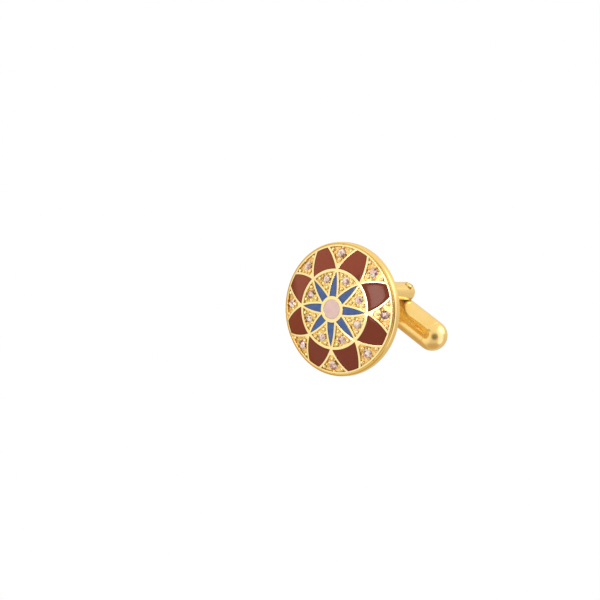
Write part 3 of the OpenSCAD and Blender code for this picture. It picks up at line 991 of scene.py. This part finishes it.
def makeFork():
    p, f = plan, forkLook
    ends = []  # height above the hinge and radius of the rings that round an arm's end, from its pole
    for n in range(1, f["endSteps"] + 1):
        t = math.radians(90 * n / f["endSteps"])
        rise, radius = [p["armR"] * abs(share) ** (2 / f["blunt"]) for share in (math.cos(t), math.sin(t))]
        ends.append((rise * f["endShare"], radius))
    middle = (p["hingeAt"] + p["bendZ"]) / 2
    path = [(p["armAt"], p["hingeAt"] + rise, radius, 0) for rise, radius in ends]
    path.append((p["armAt"], middle, p["armR"], 0))
    for n in range(f["bendSteps"] + 1):
        turn = 180 * n / f["bendSteps"]
        t = math.radians(turn)
        path.append((p["armAt"] * math.cos(t), p["bendZ"] - p["armAt"] * math.sin(t), p["armR"], turn))
    path.append((-p["armAt"], middle, p["armR"], 180))
    path += [(-p["armAt"], p["hingeAt"] + rise, radius, 180) for rise, radius in reversed(ends)]
    around = [2 * math.pi * n / f["sides"] for n in range(f["sides"])]
    loops = []
    for y, z, radius, turn in path:
        t = math.radians(turn)
        out = Vector((0, math.cos(t), -math.sin(t)))
        loops.append([Vector((0, y, z)) + radius * (out * math.cos(a) + Vector((1, 0, 0)) * math.sin(a))
                      for a in around])
    top = p["hingeAt"] + p["armR"] * f["endShare"]
    fork = drawOut("forkRod", loops, (0, p["armAt"], top), (0, -p["armAt"], top))
    cutBy(fork, boxCutter(f["slotWide"], p["slotHalf"], p["slotZ"], f["slotTop"]))
    cutBy(fork, boxCutter(f["footWide"], f["footWide"], f["footLow"], p["floorZ"] - f["footDeep"]))
    cutBy(fork, rodCutter(p["pinR"] + f["boreGap"], f["reach"], f["boreSides"]))
    deep = p["armAt"] + p["armR"] - f["pitDeep"]
    wide, (aside, low) = f["pitR"], f["pitOff"]
    pits = []
    for way in (-1, 1):
        profile = [(0, way * deep), (wide, way * deep), (wide, way * f["reach"]), (0, way * f["reach"])]
        pits.append(turned("pitCutter", profile, f["pitSides"], lambda q: atPin(q, aside * way, low)))
    cutBy(fork, joined("pitCutters", pits))
    tidied(fork, f["smooth"], f["gap"])
    applied(fork, "BEVEL", width=f["bevel"] * mm, segments=f["bevelSteps"], limit_method="ANGLE",
            angle_limit=math.radians(f["bevelFrom"]))
    tidied(fork, f["smooth"])
    return finished(fork, "head", "polished_gold", gold["polished"], "fork_post")


pinLook = dict(chamfer=0.06, chamferIn=0.3, dome=0.16, domeShares=(0.3, 0.6, 0.85), sides=48)


def makePin():
    look, c, r = pinLook, pinLook["chamfer"], plan["pinR"]
    low, inner = plan["pinHalf"] - look["dome"], c * look["chamferIn"]
    dome = [(r * share, plan["pinHalf"] - look["dome"] * share ** 2) for share in look["domeShares"]]
    end = [(0, plan["pinHalf"])] + dome + [(r - inner, low - inner), (r, low - c)]
    profile = [(radius, -height) for radius, height in end] + end[::-1]
    pin = turned("hingePin", profile, look["sides"], atPin)
    return finished(pin, "head", "polished_gold", gold["polished"], "hinge_pin")


# Bar: a torpedo on the hinge pin, whose one end is a cap that closes the tube

barLook = dict(
    sides=72, smooth=30, domeSteps=14, tailSteps=4, round=0.05, rings=(3.5, 0, -3.5), boreEnd=1.25,
    neckGap=0.04, neckLong=1.2, holeGap=0.03, holeReach=4, holeSides=40,
    line=((0.03, 0.03), (0.03, 0.07), (0, 0.1)),  # depth and place of the fine line where the dome starts
)


def makeBar():
    p, b, e = plan, barLook, barLook["round"]
    openEnd = p["capZ"] + p["seam"]
    lipR = math.sqrt(p["barR"] ** 2 - (openEnd + p["barHalf"]) ** 2)
    dome = arc((0, p["barHalf"]), p["barR"], 90, 0, b["domeSteps"])
    dome[0] = (0, p["barHalf"] + p["barR"])
    dome += [(p["barR"] - deep, p["barHalf"] - back) for deep, back in b["line"]]
    tailEnd = -math.degrees(math.asin((-p["barHalf"] - openEnd - e) / p["barR"]))
    tail = arc((0, -p["barHalf"]), p["barR"], 0, tailEnd, b["tailSteps"])
    profile = dome + [(p["barR"], z) for z in b["rings"]] + tail
    profile += [(lipR - e, openEnd), (p["tubeR"], openEnd), (p["tubeR"], b["boreEnd"]), (0, b["boreEnd"])]
    tube = turned("barTube", profile, b["sides"], atBar)
    cutBy(tube, rodCutter(p["pinR"] + b["holeGap"], b["holeReach"], b["holeSides"]))
    tidied(tube, b["smooth"])
    finished(tube, "bar", "polished_gold", gold["polished"], "bar_tube")
    edge = -math.degrees(math.asin((-p["barHalf"] - p["capZ"] + e) / p["barR"]))
    cap = arc((0, -p["barHalf"]), p["barR"], -90, edge, b["domeSteps"])
    cap[0] = (0, -p["barHalf"] - p["barR"])
    neck, inner = p["tubeR"] - b["neckGap"], openEnd + b["neckLong"]
    cap += [(p["capR"] - e, p["capZ"]), (neck, p["capZ"]), (neck, inner), (0, inner)]
    finished(turned("barCap", cap, b["sides"], atBar), "bar", "polished_gold", gold["polished"], "bar_cap")


# Solder: a fillet round the foot and the patch that ran out beside it

solderForm = dict(
    samples=24,
    collar=[(-0.02, 0.35, 0.06), (0.02, 0.336, 0.06), (0.05, 0.252, 0.042), (0.1, 0.14, 0.024),
            (0.18, 0.049, 0.012), (0.27, 0.012, 0), (0.3, -0.1, 0)],  # height, offset and unevenness
    collarWaves=((0.5, 3, 1), (0.3, 7, 0), (0.2, 12, 2)),  # share, count and start of each wave
    patchSides=72, patchR=2.3, patchAt=5.1, patchAngle=230, patchShare=0.93,
    patchWaves=((0.05, 3, 0.6), (0.03, 8, 0), (0.02, 17, 0)),
    patch=[(1, -0.05), (1, -0.01), (0.94, 0.012), (0.85, 0.025), (0.72, 0.035), (0.58, 0.042), (0.44, 0.046),
           (0.3, 0.05), (0.15, 0.05)],  # share of the radius and height of each ring
    grit=0.34, gritHeight=0.2, gritLevels=2, gritDetail=2,
    grains=170, grainSizes=(0.09, 0.22), grainReach=1.12, grainCrowd=0.75, grainUneven=0.35, grainSides=7,
    grainForm=[(0, -0.5), (1, -0.5), (1, 0.2), (0.75, 0.45), (0.35, 0.66), (0, 0.7)], grainSmooth=20,
)


def waves(table, angle):
    return sum(share * math.sin(count * angle + start) for share, count, start in table)


# A ring round the bend of the rod, a given height above the recess's floor and a given offset from the rod
def footLoop(height, offset, wobble):
    p, f, quarter = plan, solderForm, []
    drop = p["bendZ"] - (p["floorZ"] + height)
    radius = p["armR"] + offset
    first = math.asin((drop - p["armAt"]) / radius)
    for n in range(f["samples"] + 1):
        t = first + (math.pi / 2 - first) * n / f["samples"]
        s = p["armAt"] + radius * math.sin(t)
        quarter.append((radius * math.cos(t), math.sqrt(max(s * s - drop * drop, 0))))
    upper = quarter + [(-x, y) for x, y in quarter[-2::-1]]
    points = []
    for x, y in upper + [(x, -y) for x, y in upper[-2:0:-1]]:
        swell = 1 + wobble * waves(f["collarWaves"], math.atan2(y, x))
        points.append((x * swell, y * swell, p["floorZ"] + height))
    return points


# A ring of the patch, a given height above the recess's floor
def patchLoop(centre, share, height):
    f, loop = solderForm, []
    for n in range(f["patchSides"]):
        a = 2 * math.pi * n / f["patchSides"]
        r = f["patchR"] * share * (f["patchShare"] + waves(f["patchWaves"], a))
        loop.append((centre.x + r * math.cos(a), centre.y + r * math.sin(a), plan["floorZ"] + height))
    return loop


# One drop of solder, more often near the middle of the patch, with uneven corners
def makeGrain(model, centre):
    f = solderForm
    away = f["patchR"] * f["grainReach"] * dice.random() ** f["grainCrowd"]
    spot = centre + polar(away, dice.uniform(0, 360))
    size = dice.uniform(*f["grainSizes"])
    grain = copyOf(model, "grain")
    for vertex in grain.data.vertices:
        x, y, height = vertex.co / mm
        uneven = size * (1 + f["grainUneven"] * (dice.random() - 0.5))
        vertex.co = inFrame((spot.x + x * uneven, spot.y + y * uneven, plan["floorZ"] + height * size))
    return grain


def makeSolder():
    f = solderForm
    collar = drawOut("solderCollar", [footLoop(*ring) for ring in f["collar"]], "flat", "flat")
    centre = polar(f["patchAt"], f["patchAngle"])
    loops = [patchLoop(centre, share, height) for share, height in f["patch"]]
    patch = drawOut("solderPatch", loops, "flat", (centre.x, centre.y, loops[-1][0][2]))
    grit = bpy.data.textures.new("solderGrit", "CLOUDS")
    grit.noise_scale, grit.noise_depth = f["grit"] * mm, f["gritDetail"]
    applied(patch, "SUBSURF", subdivision_type="SIMPLE", levels=f["gritLevels"])
    applied(patch, "DISPLACE", texture=grit, strength=f["gritHeight"] * mm, texture_coords="LOCAL")
    model = turned("grain", f["grainForm"], f["grainSides"], asDrawn, f["grainSmooth"])
    grains = [makeGrain(model, centre) for n in range(f["grains"])]
    bpy.data.objects.remove(model, do_unlink=True)
    solder = joined("postSolder", [collar, patch] + grains)
    return finished(solder, "head", "gold_solder", gold["solder"], "post_solder")


gold = dict(cast=castGold(), polished=polishedGold(), solder=solderGold())
enamel = {key: enamelFinish(enamels[key]) for key in ("blue", "red", "pink")}
print("finishes ready")
makeHead()
print("head ready")
makePlate()
print("face plate ready")
for k in range(1, 9):
    for tint, kind, angle in (("blue", "petal", petalAngle(k)), ("red", "cell", cellAngle(k))):
        name, slot = "%sEnamel.%d" % (tint, k), "%s_enamel" % tint
        makeEnamel(name, "%s_%d" % (slot, k), kind, angle, slot, enamel[tint])
makeCentreEnamel()
print("enamels ready")
makeBeads()
print("beads ready")
makeFork()
makePin()
print("fork ready")
makeBar()
print("bar ready")
makeSolder()
print("solder ready")

stone = stoneGlass()
inside = dict(
    friction_plug=plainMetal("bareBrass", colour(214, 178, 96), colour(190, 150, 70)),
    plug_spring=plainMetal("springSteel", colour(196, 198, 202), colour(160, 162, 168)),
)
for name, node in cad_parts.items():
    if "stone" in name or name in inside:
        node.data.materials.clear()
        node.data.materials.append(inside.get(name, stone))
print("CAD pieces finished")
